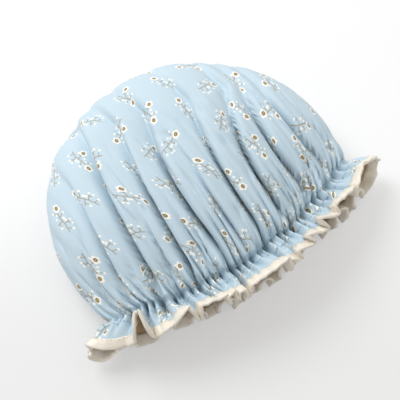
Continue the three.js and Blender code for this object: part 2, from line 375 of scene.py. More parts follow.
# Bends of the upper frill's edge from left to right: x at the mouth, x at the edge, lift in degrees
UPPER_FRILL = (
    (-130, -130, -30), (-128, -130, -5), (-116, -115, -42), (-109, -109, -8),
    (-106, -105, 80), (-103, -101, 82), (-100, -99, -20), (-97, -97, -5),
    (-78, -71, 58), (-72, -70, -18), (-67, -66, 44), (-50, -44, 40),
    (-47, -45, 0), (-44, -46, 38), (-40, -37, 43), (-37, -38, -5),
    (-35, -37, 34), (-31, -30, 28), (-27, -29, -25), (-22, -25, 33),
    (6, 15, 41), (11, 15, -22), (14, 15, 30), (21, 26, 4),
    (25, 22, 43), (37, 43, 15), (41, 35, 58), (54, 61, 13),
    (58, 53, 64), (68, 76, 22), (72, 72, 57), (90, 100, 40),
    (95, 100, 0), (99, 100, 36), (111, 114, 60), (121, 124, 34),
    (130, 130, 8),
)
BEND_ROUNDING = 9

wave_noise = Noise(17, 2)
size_noise = Noise(23, 2)
loop_noise = Noise(31, 2)
tilt_noise = Noise(29, 2)
wrinkle_noise = Noise(26, 5)
fine_noise = Noise(47, 7)
gather_noise = Noise(41, 2)
gather_size = Noise(60, 2)
gather_run = Noise(53, 2)
ripple_noise = Noise(97, 5)


def fold_line(at_mouth, half_way, at_end, start, reach):
    """Where a fold lies across the cap at a share of its depth."""
    along = np.clip((reach - start) / (1 - start), 0, 1)
    bow = half_way - 0.5 * (at_mouth + at_end)
    return at_end + (at_mouth - at_end) * along + 4 * bow * along * (1 - along)


def crease_growth(start, reach):
    """How far a crease has grown from its start towards the mouth."""
    return smooth(start, start + FULL_AFTER * (1 - start), reach)


def fold_depth(x, reach, folds):
    """How deep the folds are: each has a narrow crease and a groove that is wider on its left."""
    widening = 1 + CROWN_WIDENING * (1 - smooth(*NARROWING, reach))
    fading = smooth(FADING_FROM, 1, reach)
    total = np.zeros_like(x)
    for at_mouth, half_way, at_end, start, depth, crease in folds:
        kept = 1 - (LONG_FADING if start < SHORT_FOLD_START else SHORT_FADING) * fading
        crease_grown = FAINT_SHARE * smooth(start - FAINT_RUN, start, reach)
        crease_grown += (1 - FAINT_SHARE) * crease_growth(start, reach) * kept
        groove_grown = smooth(start - FAINT_RUN, start + GROOVE_RUN, reach) * kept
        offset = x - fold_line(at_mouth, half_way, at_end, start, reach)
        groove = np.where(offset < 0, GROOVE_LEFT, GROOVE_RIGHT) * (GROOVE_LEAST + GROOVE_GROWTH * depth)
        sharp = np.exp(-((offset / (crease * widening)) ** 2))
        broad = np.exp(-((offset / groove) ** 2))
        valley = CREASE_SHARE * crease_grown * sharp + (1 - CREASE_SHARE) * groove_grown * broad
        total += (depth * valley) ** FOLD_BLEND
    return total ** (1 / FOLD_BLEND)


def crease_places(x, reach, folds):
    """1 at the bottom of each fold's crease, 0 away from it."""
    total = np.zeros_like(x)
    for at_mouth, half_way, at_end, start, _, crease in folds:
        offset = x - fold_line(at_mouth, half_way, at_end, start, reach)
        total += np.exp(-((offset / (CREASE_BOTTOM * crease)) ** 2)) * crease_growth(start, reach)
    return total


def wrinkles(x, reach):
    """Small creases along the folds, sharp at the bottom."""
    place = (x / BODY_WIDTH + 0.5) * WRINKLE_SPREAD
    fine = np.abs(wrinkle_noise(place, reach)) + FINE_SHARE * np.abs(fine_noise(place, reach))
    sharp = WRINKLE_DEPTH * (1 - smooth(0, WRINKLE_WIDTH, fine))
    return smooth(*WRINKLED_FROM, reach) * (sharp + RIPPLE_DEPTH * ripple_noise(place, reach))


def gather(turn):
    """Height of the fine gathers that the elastic draws, from 0 to about 1."""
    phase = math.pi * (GATHERS * turn + GATHER_DRIFT * gather_noise(turn))
    return np.abs(np.sin(phase)) ** GATHER_ROUNDNESS * (1 + GATHER_VARIETY * gather_size(turn))


def rounded(values, width):
    """The values round a ring with their corners rounded."""
    weights = np.hanning(width + 2)[1:-1]
    wrapped = np.concatenate([values[-width:], values, values[:width]])
    return np.convolve(wrapped, weights / weights.sum(), "same")[width:-width]


def frill_edge(x, across):
    """How far aside the frill's edge ends and how steeply it lifts, round the mouth."""
    mouth_x, edge_x, bends = np.array(UPPER_FRILL).T
    phase = 2 * math.pi * (WAVES * TURN + WAVE_DRIFT * wave_noise(TURN))
    size = (1 + WAVE_VARIETY * size_noise(TURN)) * (1 - across**CORNER_CALM)
    corner = np.where(across < 0, bends[0], bends[-1]) * across**CORNER_POWER
    wave = WAVE_LIFT * size * (np.cos(phase) + WAVE_TILT * tilt_noise(TURN)) + corner
    loop = size * (WAVE_LOOP * np.sin(2 * phase) + LOOP_VARIETY * loop_noise(TURN))
    lift = np.where(UPPER, np.interp(x, mouth_x, bends), wave)
    aside = np.where(UPPER, x - np.interp(x, mouth_x, edge_x), loop)
    return rounded(aside, BEND_ROUNDING), rounded(lift, BEND_ROUNDING)


def frill_lengths(x, across):
    """Length of the frill round the mouth, as a share of its usual length."""
    lengths = 1 + np.where(UPPER, UPPER_UNEVEN, LOWER_UNEVEN) * loop_noise(TURN + LENGTH_SHIFT)
    lengths += LOWER_LONGER * np.where(UPPER, 0, 1 - across**CORNER_CALM)
    for middle, width, longer, above in LONGER_PLACES:
        lengths += longer * np.where(UPPER, above, 1) * np.exp(-(((x - middle) / width) ** 2))
    return lengths


NEAR_TIP = 0.0004
FORM_RINGS = 500
RING_POWER = 1.5


def body_form(shares):
    """Points of the body and shares of its depth, at shares of the spokes' lengths."""
    stations = np.linspace(NEAR_TIP, 1, FORM_RINGS) ** RING_POWER
    rings = np.array([ring(station) for station in stations])
    steps = np.linalg.norm(np.diff(rings, axis=0), axis=2)
    run = np.concatenate([np.zeros((1, SAMPLES)), np.cumsum(steps, axis=0)])
    run /= run[-1]
    depths, _ = plan_at(stations)
    points = np.empty((len(shares), SAMPLES, 3))
    depth = np.empty((len(shares), SAMPLES))
    for m in range(SAMPLES):
        for axis in range(3):
            points[:, m, axis] = np.interp(shares, run[:, m], rings[:, m, axis])
        depth[:, m] = np.interp(shares, run[:, m], depths)
    return points, depth / CROWN_DEPTH


def surface_normals(rows):
    along = np.roll(rows, -1, axis=1) - np.roll(rows, 1, axis=1)
    return unit(np.cross(along, np.gradient(rows, axis=0)))


def mouth_shares(mouth):
    """Places across the mouth, from -1 at its left corner to 1."""
    return np.clip(2 * mouth[:, 0] / MOUTH_WIDTH, -1, 1)


def by_lip(shape, x, reach):
    """A shape of the folds, each lip with its own."""
    return np.where(UPPER, shape(x, reach, UPPER_FOLDS), shape(x, reach, LOWER_FOLDS))


def dense_rows(grid, body, reach):
    """The cloth's rows with their main folds, gathers and waves, before it is relaxed."""
    normals = surface_normals(body)
    mouth = body[-1]
    tangent = unit(np.roll(mouth, -1, axis=0) - np.roll(mouth, 1, axis=0))
    x = body[..., 0]
    across = mouth_shares(mouth)
    folds = by_lip(fold_depth, x, reach) + wrinkles(x, reach)
    fan = np.where(across < 0, LEFT_FAN, RIGHT_FAN) * np.sign(across) * np.abs(across) ** FAN_POWER
    out = np.stack([np.sin(fan), -np.cos(fan), np.zeros(SAMPLES)], axis=1)
    face = unit(np.cross(tangent, out))
    drawn = smooth(DRAWN_FROM, 1, reach)[..., None]
    direction = unit(normals * (1 - drawn) + face[None] * drawn)
    sideways = unit(np.roll(body, 1, axis=1) - np.roll(body, -1, axis=1))
    lean = CREASE_LEAN * np.where(UPPER, 1 - np.abs(across) ** LEAN_CORNER_POWER, 0) * folds
    lean = lean * (1 - smooth(LEAN_UNTIL, 1, reach))
    rows = list(body - direction * folds[..., None] + sideways * lean[..., None])
    at_mouth = -folds[-1]
    aside, lift = frill_edge(mouth[:, 0], across)
    lift = np.radians(lift)
    lengths = frill_lengths(mouth[:, 0], across)
    gather_way = list(direction)
    for radius in grid.radii[len(body) :]:
        length = radius - MOUTH_RADIUS
        frill = max(0, length - CASING_WIDTH)
        opened = frill / FRILL_LENGTH
        outward = length - frill + frill * lengths * np.cos(lift)
        height = at_mouth * (1 - opened) + frill * lengths * np.sin(lift)
        rows.append(
            mouth + out * outward[:, None] + face * height[:, None] + tangent * (opened * aside)[:, None]
        )
        tilt = lift[:, None] if frill > 0 else np.zeros((SAMPLES, 1))
        gather_way.append(face * np.cos(tilt) - out * np.sin(tilt))
    rows = np.array(rows)
    radii = grid.radii[:, None]
    run = GATHER_REACH * (1 + GATHER_SPREAD * np.maximum(0, gather_run(TURN)))
    opening = 1 - GATHER_OPENING * smooth(CASING_END, CASING_END + GATHER_OPEN_RUN, radii)
    near = np.exp(-np.maximum(0, MOUTH_RADIUS - radii) / run) * opening
    deepest = MOUTH_RADIUS + 0.5 * CASING_WIDTH + PINCH_WANDER * gather_run(TURN + PINCH_SHIFT)
    lip = np.maximum(0, np.sin(2 * math.pi * TURN))
    pinch = np.exp(-(((radii - deepest) / PINCH_WIDTH) ** 2)) * (PINCH_LEAST + (1 - PINCH_LEAST) * lip)
    pinch = pinch * (PINCH_AT_PUCKER - PUCKER * gather(TURN))
    rows = rows + np.array(gather_way) * (near * GATHER_DEPTH * (gather(TURN) - GATHER_MIDDLE))[..., None]
    rows = rows - (PINCH * face + PINCH_BACK * out) * pinch[..., None]
    rows[..., 2] = np.maximum(rows[..., 2], TABLE_GAP)
    return rows


# Steps of the lift, in degrees from sample to sample, between which the frill turns over
BEND_STEPS = (0.8, 2.5)
EVEN_SHARE = 0.01


def hidden_cloth(grid, body, reach):
    """Where spare cloth lies in each row: in the creases and between the panels."""
    creases = by_lip(crease_places, body[..., 0], reach)
    _, lift = frill_edge(body[-1, :, 0], mouth_shares(body[-1]))
    between = smooth(*BEND_STEPS, np.abs(np.gradient(lift))) + EVEN_SHARE
    creases += EVEN_SHARE
    last = creases[-1] / creases[-1].mean()
    turned = smooth(MOUTH_RADIUS, EDGE_RADIUS, grid.radii[len(body) :])[:, None]
    frill = last * (1 - turned) + between / between.mean() * turned
    return np.concatenate([creases, frill])


PLEATED_FROM = 0.6


def spoke_turns(rows, radii, spokes):
    """Places of the spokes, closer together where folds hold more cloth."""
    chosen = radii > PLEATED_FROM * MOUTH_RADIUS
    steps = np.linalg.norm(np.roll(rows[chosen], -1, axis=1) - rows[chosen], axis=2)
    steps = (steps / steps.sum(axis=1, keepdims=True)).mean(axis=0)
    share = np.concatenate([[0], np.cumsum(steps)])
    return np.interp(np.arange(spokes) / spokes, share / share[-1], np.arange(SAMPLES + 1) / SAMPLES)


def at_turns(row, turns):
    """The row's points at the given turns."""
    places = turns * len(row)
    low = np.floor(places).astype(int)
    share = (places - low)[:, None]
    return row[low % len(row)] * (1 - share) + row[(low + 1) % len(row)] * share


# Relaxing the cloth: its rows take the lengths of the flat cut, pushed from inside and kept apart

FIRST_ROW = 6
STEPS = 50
PUSH = 0.015
PULL = 0.02
SPARE_CLOTH = 0.03
SHAKE = 0.12
RING_STIFFNESS = 0.6
ROW_STIFFNESS = 0.8
DIAGONAL_STIFFNESS = 0.08
RING_SMOOTHING = 0.02
ROW_SMOOTHING = 0.04
LARGEST_STEP = 1.2
TINY = 1e-6

# Radii of the cut where these set in
PUSHED_FROM = (20, 90)
SPARE_FROM = (80, 160)
SHAKEN_FROM = (30, 120)
HELD_FROM = 55
CONTACT_FROM = 90

# How near folds come to each other, counted between spokes of one row
CLOTH_GAP = 2.4
CONTACT_EVERY = 8
NEAREST_SPOKE = 3
FARTHEST_SPOKE = 64
GAPS_ALONG = 3
CONTACT_SHARE = 0.25

# The form that holds the body: how far outside it goes, how deep a fold, and smallest sizes
OUTWARD = 2.0
DEEPEST = 0.3
SETBACK_ROUNDS = 3
WIDTH_MARGIN = 0.5
LEAST_SIZE = 1
LEAST_RADIUS = 10
LEAST_LEVEL = 1e-3
AXIS_LEVEL = 0.05


def section(points):
    """Half width, belly, and heights above and below it of the unfolded form at each point's depth."""
    x, y = points[..., 0], points[..., 1]
    depth = np.clip(-y, LEAST_SIZE, CROWN_DEPTH)
    for _ in range(SETBACK_ROUNDS):
        width = np.interp(depth, PLAN_DEPTHS, PLAN_WIDTHS) + WIDTH_MARGIN
        across = np.clip(np.abs(x) / width, 0, 1)
        setback = (depth / CROWN_DEPTH) ** 2 * CORNER_SETBACK * across**2
        depth = np.clip(setback - y, LEAST_SIZE, CROWN_DEPTH)
    width = np.interp(depth, PLAN_DEPTHS, PLAN_WIDTHS) + WIDTH_MARGIN
    under, top = heights_at(depth)
    belly = under + BELLY_SHARE * (top - under)
    return width, belly, top - belly, belly - under


def spread(points, first, second, rest, stiffness):
    """Moves pairs of points towards their rest distance."""
    gap = points[second] - points[first]
    length = norms(gap)
    move = 0.5 * stiffness * (1 - rest / np.maximum(length, TINY)) * gap
    points[first] += move
    points[second] -= move


def keep_apart(points, ring_rest, rows):
    """Keeps the folds of each row from passing through each other."""
    chosen = points[rows]
    for shift in range(NEAREST_SPOKE, FARTHEST_SPOKE):
        far = shift * ring_rest[rows] > GAPS_ALONG * CLOTH_GAP
        between = np.roll(chosen, -shift, axis=1) - chosen
        length = norms(between)
        close = (length < CLOTH_GAP) & far
        if close.any():
            share = CONTACT_SHARE * (CLOTH_GAP - length) / np.maximum(length, TINY)
            move = np.where(close, share, 0) * between
            chosen = chosen - move + np.roll(move, shift, axis=1)
    points[rows] = chosen


def keep_inside(points, body):
    """Holds the body between an outer form and the deepest that its folds go, and above the table."""
    width, belly, above, below = section(points)
    x, z = points[..., 0], points[..., 2]
    upper = z >= belly
    power = np.where(upper, TOP_POWER, UNDER_POWER)
    high = np.maximum(np.where(upper, above, below), LEAST_SIZE)
    level = (np.abs(x / width) ** power + np.abs((z - belly) / high) ** power) ** (1 / power)
    level = np.maximum(level, LEAST_LEVEL)
    radius = np.maximum(np.hypot(x, z - belly), LEAST_RADIUS)
    highest = 1 + OUTWARD / radius
    factor = np.where(level > highest, highest / level, 1)
    factor = np.where(upper & (level < DEEPEST) & (level > AXIS_LEVEL), DEEPEST / level, factor)
    factor = np.where(body, factor, 1)
    points[..., 0] = x * factor
    points[..., 2] = np.maximum(belly + (z - belly) * factor, TABLE_GAP)


def relax(points, radii, grid):
    """Lets the rows reach their rest lengths, with the casing and the tip held."""
    rows, spokes, _ = points.shape
    number = np.arange(rows) + FIRST_ROW
    pinned = (number == FIRST_ROW) | ((number >= grid.mouth_row) & (number <= grid.casing_row))
    in_body = ((number < grid.mouth_row) & (radii > HELD_FROM))[:, None]
    push = (PUSH * smooth(*PUSHED_FROM, radii) * (number < grid.mouth_row))[:, None, None]
    contact_rows = np.nonzero((radii > CONTACT_FROM) & ~pinned)[0]
    start = points.copy()
    first_length = norms(np.roll(start, -1, axis=1) - start)
    ring_rest = first_length * (1 + SPARE_CLOTH * smooth(*SPARE_FROM, radii))[:, None, None]
    row_rest = np.repeat(np.diff(radii), spokes).reshape(rows - 1, spokes, 1)
    diagonal_rest = np.sqrt((0.5 * (ring_rest[1:] + ring_rest[:-1])) ** 2 + row_rest**2)
    mean_rest = ring_rest.mean(axis=1, keepdims=True)
    points += rng.normal(0, SHAKE, points.shape) * smooth(*SHAKEN_FROM, radii)[:, None, None]
    every = slice(None)
    for step in range(STEPS):
        before = points.copy()
        rest = first_length + (ring_rest - first_length) * min(1, 2 * (step + 1) / STEPS)
        for odd in (0, 1):
            first = (every, slice(odd, spokes - 1, 2))
            spread(points, first, (every, slice(odd + 1, spokes, 2)), rest[first], RING_STIFFNESS)
        last = (every, slice(spokes - 1, spokes))
        spread(points, last, (every, slice(0, 1)), rest[last], RING_STIFFNESS)
        for odd in (0, 1):
            pairs = (rows - odd) // 2
            first = slice(odd, odd + 2 * pairs, 2)
            spread(points, first, slice(odd + 1, odd + 1 + 2 * pairs, 2), row_rest[first], ROW_STIFFNESS)
        for turned in (1, -1):
            gap = np.roll(points, -turned, axis=1)[1:] - points[:-1]
            length = norms(gap)
            move = DIAGONAL_STIFFNESS * (1 - diagonal_rest / np.maximum(length, TINY)) * gap
            points[:-1] += move
            points[1:] -= np.roll(move, turned, axis=1)
        beside = np.roll(points, 1, axis=1) + np.roll(points, -1, axis=1)
        points += RING_SMOOTHING * (0.5 * beside - points)
        points[1:-1] += ROW_SMOOTHING * (0.5 * (points[2:] + points[:-2]) - points[1:-1])
        points += push * surface_normals(points) + PULL * (start - points)
        keep_inside(points, in_body)
        if (step + 1) % CONTACT_EVERY == 0:
            keep_apart(points, mean_rest, contact_rows)
        points[pinned] = start[pinned]
        moved = points - before
        points = before + moved * np.minimum(1, LARGEST_STEP / np.maximum(norms(moved), NEAR_ZERO))
    return points


def cloth_points(grid):
    """The relaxed cloth in rows and at the grid's vertices, its spare cloth and the mouth's left corner."""
    body, reach = body_form(grid.radii[: grid.mouth_row + 1] / MOUTH_RADIUS)
    dense = dense_rows(grid, body, reach)
    turns = spoke_turns(dense, grid.radii, grid.spokes)
    rows = np.array([at_turns(row, turns) for row in dense])
    hidden = hidden_cloth(grid, body, reach)
    hidden = np.array([at_turns(row[:, None], turns)[:, 0] for row in hidden])
    rows[FIRST_ROW:] = relax(rows[FIRST_ROW:], grid.radii[FIRST_ROW:], grid)
    points = np.concatenate([at_turns(row, np.arange(n) / n) for row, n in zip(rows, grid.counts)])
    left_corner = int(np.searchsorted(turns, 0.5))
    return rows, hidden, left_corner, points


GRID = Grid()
SPOKES = GRID.spokes
ROWS, HIDDEN, LEFT_CORNER, CLOTH = cloth_points(GRID)
CLOTH_NORMALS = vertex_normals(CLOTH, GRID.faces)
SEAM_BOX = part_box("casing_needle_thread_upper")
TIP = np.array([0.5 * (SEAM_BOX[0][0] + SEAM_BOX[1][0]) / MM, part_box("outer_shell")[1][1] / MM, 0])
ROWS_BLENDED = 7


def cut_places(rows, hidden, grid):
    """Where each vertex lay on the flat cut, with the spare cloth of a row laid in its creases."""
    middle = 2 * math.pi * LEFT_CORNER / grid.spokes
    halves = (
        (slice(0, LEFT_CORNER), 0, middle),
        (slice(LEFT_CORNER, None), middle, 2 * math.pi - middle),
    )
    angles = []
    for row, spare, radius in zip(rows, hidden, grid.radii):
        steps = np.linalg.norm(np.roll(row, -1, axis=0) - row, axis=1)
        turned = [np.zeros(1)]
        for part, first, turn in halves:
            left = max(0, turn * radius - steps[part].sum())
            length = np.cumsum(steps[part] + left * spare[part] / spare[part].sum())
            turned.append(first + turn * length / max(length[-1], NEAR_ZERO))
        angles.append(np.concatenate(turned))
    padded = np.pad(angles, ((ROWS_BLENDED, ROWS_BLENDED), (0, 0)), mode="edge")
    angles = np.mean([padded[n : n + len(angles)] for n in range(2 * ROWS_BLENDED + 1)], axis=0)
    places = []
    for turned, radius, count in zip(angles, grid.radii, grid.counts):
        angle = np.interp(np.arange(count) / count, np.arange(len(turned)) / (len(turned) - 1), turned)
        places.append(radius * np.stack([np.cos(angle), np.sin(angle)], axis=1))
    return np.concatenate(places)


CUT = cut_places(ROWS, HIDDEN, GRID)


def add_object(name, data):
    made = bpy.data.objects.new(name, data)
    bpy.context.scene.collection.objects.link(made)
    return made


def new_piece(name, points, faces, material, nodes, uv):
    """A mesh piece in the frame, riding on the cap's one body and standing for its nodes."""
    mesh = bpy.data.meshes.new(name)
    places = ((points + TIP) * MM).tolist()
    mesh.from_pydata(places, [], [tuple(int(v) for v in face) for face in faces])
    mesh.polygons.foreach_set("use_smooth", [True] * len(mesh.polygons))
    layer = mesh.uv_layers.new(name="cut")
    corners = np.empty(len(mesh.loops), dtype=np.int32)
    mesh.loops.foreach_get("vertex_index", corners)
    layer.data.foreach_set("uv", (uv[corners] * MM).ravel())
    mesh.update()
    piece = add_object(name, mesh)
    mesh.materials.append(material)
    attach(piece, "root")
    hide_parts(*nodes)
    return piece


# Materials


class Shader:
    """A new material, with short names for its nodes; constants go straight to the sockets."""

    def __init__(self, name):
        self.material = bpy.data.materials.new(name)
        self.material.use_nodes = True
        self.tree = self.material.node_tree
        self.bsdf = self.tree.nodes["Principled BSDF"]

    def link(self, source, target):
        if isinstance(source, (int, float, tuple)):
            target.default_value = source
        else:
            self.tree.links.new(source, target)

    def put(self, node, values):
        for name, value in values.items():
            self.link(value, node.inputs[name])

    def node(self, kind, values=None, **settings):
        made = self.tree.nodes.new("ShaderNode" + kind)
        for key, value in settings.items():
            setattr(made, key, value)
        self.put(made, values or {})
        return made

    def operate(self, kind, operation, values):
        made = self.node(kind, operation=operation)
        for socket, value in zip(made.inputs, values):
            self.link(value, socket)
        return made

    def math(self, operation, *values):
        return self.operate("Math", operation, values).outputs[0]

    def vector(self, operation, *values):
        made = self.operate("VectorMath", operation, values)
        return made.outputs["Value" if operation in ("LENGTH", "DISTANCE", "DOT_PRODUCT") else "Vector"]

    def split(self, vector):
        made = self.node("SeparateXYZ", {"Vector": vector})
        return made.outputs["X"], made.outputs["Y"]

    def join(self, x, y):
        return self.node("CombineXYZ", {"X": x, "Y": y}).outputs[0]

    def ramp(self, low, high, value):
        values = {"Value": value, "From Min": low, "From Max": high}
        return self.node("MapRange", values, interpolation_type="SMOOTHSTEP").outputs["Result"]

    def mix(self, share, low, high):
        made = self.node("Mix", data_type="RGBA")
        self.put(made, {"Factor": share, "A": low, "B": high})
        return made.outputs["Result"]

    def largest(self, values):
        total = values[0]
        for value in values[1:]:
            total = self.math("MAXIMUM", total, value)
        return total

    def noise(self, place, scale):
        return self.node("TexNoise", {"Vector": place, "Scale": scale}).outputs["Fac"]

    def bump(self, height, strength, distance):
        values = {"Height": height, "Strength": strength, "Distance": distance}
        return self.node("Bump", values).outputs["Normal"]

    def flat_cut(self):
        return self.node("UVMap", uv_map="cut").outputs["UV"]


def srgb(red, green, blue):
    """A colour written as it looks on a screen, from 0 to 255."""
    values = [c / 255 for c in (red, green, blue)]
    linear = [c / 12.92 if c <= 0.04045 else ((c + 0.055) / 1.055) ** 2.4 for c in values]
    return (*linear, 1)


BLUE = srgb(199, 217, 227)
BLUE_DEEP = srgb(190, 210, 221)
PETAL = srgb(246, 244, 236)
HEART = srgb(138, 115, 74)
HEART_MIDDLE = srgb(190, 167, 122)
TWIG = srgb(158, 139, 104)
CREAM = srgb(252, 248, 240)
TAN = srgb(214, 192, 158)

# The print in metres on the flat cut: one sprig to a cell, measured from the cell's middle
CELL = 0.039
STEM = ((-0.0099, -0.0059), (-0.0036, -0.0011), (0.0027, 0.0013), (0.0081, 0.0050))
BRANCHES = (
    ((-0.0036, -0.0011), (-0.0059, 0.0050)), ((-0.0007, 0.0000), (0.0011, -0.0063)),
    ((0.0027, 0.0013), (0.0020, 0.0070)), ((0.0052, 0.0031), (0.0097, 0.0000)),
    ((-0.0070, -0.0037), (-0.0110, -0.0009)), ((-0.0048, 0.0022), (-0.0082, 0.0034)),
    ((0.0004, -0.0038), (-0.0024, -0.0060)),
)
BUDS = (
    (-0.0062, 0.0060), (0.0018, 0.0082), (0.0108, -0.0006), (-0.0118, -0.0004),
    (-0.0028, 0.0028), (0.0046, -0.0026), (-0.0030, -0.0068), (0.0064, 0.0010),
    (-0.0006, 0.0034), (-0.0090, 0.0042),
)
BLOSSOMS = (((0.0096, 0.0070), 0.0043), ((0.0013, -0.0085), 0.0041))
SECOND_LEFT_OUT = 0.4
STEM_RADIUS = 0.00046
BRANCH_RADIUS = 0.00038
BUD_RADIUS = 0.0012
TWIG_BLUR = 0.0002
PETAL_BLUR = 0.0003
PETALS = 5
PETAL_NOTCH = 0.26
HEART_SHARE = 0.46
HEART_MIDDLE_SHARE = 0.2
TWIG_INK = 0.85
WEAVE_PITCH = 0.0006


def inside(shader, distance, radius, blur):
    """1 inside a radius, 0 outside, with a blurred edge."""
    return shader.ramp(radius + blur, radius - blur, distance)


def segment(shader, place, start, end, radius):
    """1 inside a straight twig with round ends, 0 outside."""
    ax, ay = start
    bx, by = end
    span = (bx - ax, by - ay, 0)
    squared = math.hypot(bx - ax, by - ay) ** 2
    from_start = shader.vector("SUBTRACT", place, (ax, ay, 0))
    along = shader.math("DIVIDE", shader.vector("DOT_PRODUCT", from_start, span), squared)
    clamped = shader.math("MINIMUM", shader.math("MAXIMUM", along, 0.0), 1.0)
    nearest = shader.node("VectorMath", operation="SCALE")
    shader.link(span, nearest.inputs[0])
    shader.link(clamped, nearest.inputs["Scale"])
    distance = shader.vector("DISTANCE", from_start, nearest.outputs["Vector"])
    return inside(shader, distance, radius, TWIG_BLUR)


def bud(shader, place, middle):
    distance = shader.vector("DISTANCE", place, (*middle, 0))
    return inside(shader, distance, BUD_RADIUS, TWIG_BLUR)


def blossom(shader, place, middle, radius):
    """Round petals about a heart with a lighter middle."""
    offset = shader.vector("SUBTRACT", place, (*middle, 0))
    x, y = shader.split(offset)
    half_turns = shader.math("MULTIPLY", shader.math("ARCTAN2", y, x), PETALS / 2)
    wave = shader.math("ABSOLUTE", shader.math("COSINE", half_turns))
    reach = shader.math("MULTIPLY_ADD", wave, PETAL_NOTCH * radius, (1 - PETAL_NOTCH) * radius)
    distance = shader.vector("LENGTH", offset)
    petals = inside(shader, shader.math("SUBTRACT", distance, reach), 0, PETAL_BLUR)
    heart = inside(shader, distance, HEART_SHARE * radius, PETAL_BLUR)
    lighter = inside(shader, distance, HEART_MIDDLE_SHARE * radius, PETAL_BLUR)
    return petals, heart, lighter


def print_layers(shader, cut):
    """Small sprigs tossed in a half drop, each turned its own way in its cell."""
    x, y = shader.split(shader.vector("DIVIDE", cut, (CELL, CELL, 1)))
    column = shader.math("FLOOR", x)
    odd = shader.math("FLOORED_MODULO", column, 2.0)
    y = shader.math("MULTIPLY_ADD", odd, 0.5, y)
    row = shader.math("FLOOR", y)
    cell = {"Vector": shader.join(column, row)}
    random = shader.node("TexWhiteNoise", cell, noise_dimensions="3D")
    chance = shader.node("SeparateColor", {"Color": random.outputs["Color"]})
    in_cell = (shader.math("SUBTRACT", shader.math("FRACT", value), 0.5) for value in (x, y))
    local = shader.join(*in_cell)
    turned = shader.node("VectorRotate", rotation_type="Z_AXIS")
    shader.link(shader.vector("MULTIPLY", local, (CELL, CELL, 0)), turned.inputs["Vector"])
    shader.link(shader.math("MULTIPLY", random.outputs["Value"], 2 * math.pi), turned.inputs["Angle"])
    place = turned.outputs[0]
    twigs = [segment(shader, place, a, b, STEM_RADIUS) for a, b in zip(STEM, STEM[1:])]
    twigs += [segment(shader, place, a, b, BRANCH_RADIUS) for a, b in BRANCHES]
    both = shader.math("GREATER_THAN", chance.outputs["Red"], SECOND_LEFT_OUT)
    first, second = (blossom(shader, place, middle, radius) for middle, radius in BLOSSOMS)
    second = [shader.math("MULTIPLY", layer, both) for layer in second]
    petals, hearts, lighter = (shader.largest(pair) for pair in zip(first, second))
    buds = [bud(shader, place, middle) for middle in BUDS]
    return shader.largest(twigs), shader.largest([petals, *buds]), hearts, lighter


def weave_height(shader, cut):
    """Plain weave: warp and weft threads over and under each other."""
    turns = (shader.math("MULTIPLY", axis, 2 * math.pi / WEAVE_PITCH) for axis in shader.split(cut))
    return shader.math("MULTIPLY", *(shader.math("SINE", turn) for turn in turns))


def printed_cotton():
    shader = Shader("printed_cotton")
    cut = shader.flat_cut()
    twigs, white, hearts, lighter = print_layers(shader, cut)
    ground = shader.mix(shader.noise(cut, scale=40), BLUE, BLUE_DEEP)
    inked = shader.mix(shader.math("MULTIPLY", twigs, TWIG_INK), ground, TWIG)
    for layer, colour in ((white, PETAL), (hearts, HEART), (lighter, HEART_MIDDLE)):
        inked = shader.mix(layer, inked, colour)
    weave = shader.bump(weave_height(shader, cut), strength=0.12, distance=0.0002)
    shader.put(shader.bsdf, {"Base Color": inked, "Normal": weave, "Roughness": 0.82})
    shader.put(shader.bsdf, {"Sheen Weight": 0.12, "Sheen Roughness": 0.5, "Specular IOR Level": 0.3})
    return shader.material


def satin(name, colour, shade, stretch=(1, 1, 1)):
    """A shiny cloth or thread: one noise gives it bumps and also mixes a darker shade colour into its colour
    as painted sheen and shade, drawn out into streaks by a stretch.
    """
    shader = Shader(name)
    grain_and_sheen = shader.noise(shader.vector("MULTIPLY", shader.flat_cut(), stretch), scale=260)
    normal = shader.bump(grain_and_sheen, strength=0.25, distance=0.0004)
    # Painted shade: the noise mixes the colour with the darker shade colour, as satin sheen streaks
    shader.put(shader.bsdf, {"Base Color": shader.mix(grain_and_sheen, colour, shade), "Normal": normal})
    shader.put(shader.bsdf, {"Roughness": 0.36, "Sheen Weight": 0.1})
    return shader.material


COTTON = printed_cotton()
# The second colour of each satin is its painted shade colour, mixed in as sheen streaks
LINING = satin("cream_lining", TAN, srgb(202, 178, 142))
TAPE = satin("satin_binding", CREAM, srgb(226, 212, 188), TAPE_STREAKS)
RUBBER = satin("elastic", srgb(238, 236, 230), srgb(222, 220, 212))
BLUE_THREAD = satin("blue_thread", srgb(170, 196, 212), srgb(150, 178, 198))
CREAM_THREAD = satin("cream_thread", srgb(233, 223, 204), srgb(214, 202, 180))

# The pieces

outer = new_piece("printed_shell", CLOTH, GRID.faces, COTTON, ["outer_shell"], CUT)
within = CLOTH - CLOTH_NORMALS * LINING_OFFSET
lining = new_piece("lining_cloth", within, GRID.faces[:, ::-1], LINING, ["lining"], CUT)


def row_points(radius, offset):
    """The row of cloth at a radius of the cut, moved out along its normals."""
    after = int(np.searchsorted(GRID.radii, radius - TINY))
    after = max(after, INNER_ROWS + 1)
    share = (radius - GRID.radii[after - 1]) / (GRID.radii[after] - GRID.radii[after - 1])
    low = slice(GRID.starts[after - 1], GRID.starts[after])
    high = slice(GRID.starts[after], GRID.starts[after + 1])
    points = CLOTH[low] * (1 - share) + CLOTH[high] * share
    normals = unit(CLOTH_NORMALS[low] * (1 - share) + CLOTH_NORMALS[high] * share)
    return points + normals * offset


def band(rows):
    """A closed band from rows of points, the last joined to the first."""
    points = np.concatenate(rows)
    faces = []
    for r in range(len(rows)):
        here, there = r * SPOKES, (r + 1) % len(rows) * SPOKES
        for m in range(SPOKES):
            n = (m + 1) % SPOKES
            faces.append((here + m, here + n, there + n, there + m))
    return points, np.array(faces)


STRIP_PITCH = 2.0
EDGE_STEP = 1.5


